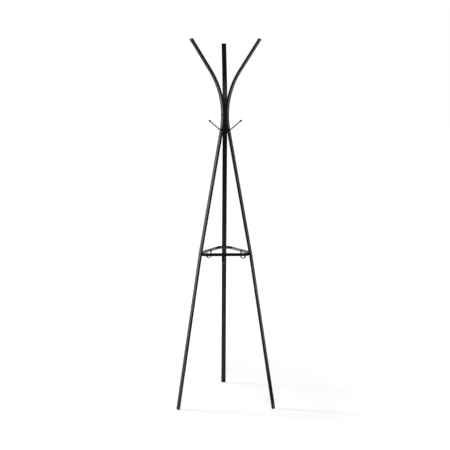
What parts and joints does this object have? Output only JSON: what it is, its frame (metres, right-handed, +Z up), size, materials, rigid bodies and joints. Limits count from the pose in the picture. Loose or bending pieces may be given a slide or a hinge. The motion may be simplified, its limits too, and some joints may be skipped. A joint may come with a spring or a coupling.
{
  "type": "coat rack",
  "caption": "Standing coat rack: flat-sided tubes bent together at a neck, splayed as legs below and as arms above, with ball-ended pegs and a braced ring with bag hooks.",
  "frame": {"origin": "on the floor, at the middle of the three feet, straight under the middle of the neck", "axes": "+Z up; the rear leg and arm stand out along +Y, and the left and right ones along (-X, -Y) and (+X, -Y), so the open side between the left and right legs faces -Y"},
  "size_m": [0.4632, 0.4018, 1.7],
  "materials": {
    "tube_paint": "satin black powder coat",
    "strip_paint": "satin black powder coat on flat steel strip",
    "rod_paint": "satin black powder coat on round steel rod and ball",
    "black_steel": "black-plated steel fasteners",
    "plain_steel": "bare zinc-plated steel",
    "black_plastic": "matt moulded polyethylene"
  },
  "bodies": {
    "root": {"left_arm_tube": "tube_paint", "right_arm_tube": "tube_paint", "rear_arm_tube": "tube_paint", "left_leg_tube": "tube_paint", "right_leg_tube": "tube_paint", "rear_leg_tube": "tube_paint", "left_joint_sleeve": "plain_steel", "right_joint_sleeve": "plain_steel", "rear_joint_sleeve": "plain_steel", "left_tip_cap": "black_plastic", "right_tip_cap": "black_plastic", "rear_tip_cap": "black_plastic", "left_foot_plug": "black_plastic", "right_foot_plug": "black_plastic", "rear_foot_plug": "black_plastic", "neck_hub": "tube_paint", "neck_screws": "black_steel", "left_peg_rod": "rod_paint", "right_peg_rod": "rod_paint", "rear_peg_rod": "rod_paint", "left_peg_ball": "rod_paint", "right_peg_ball": "rod_paint", "rear_peg_ball": "rod_paint", "peg_inserts": "black_steel", "peg_nuts": "black_steel", "front_brace_bar": "strip_paint", "right_brace_bar": "strip_paint", "left_brace_bar": "strip_paint", "front_bag_hook": "strip_paint", "right_bag_hook": "strip_paint", "left_bag_hook": "strip_paint", "brace_screws": "black_steel", "hook_rivets": "strip_paint"}
  },
  "joints": []
}
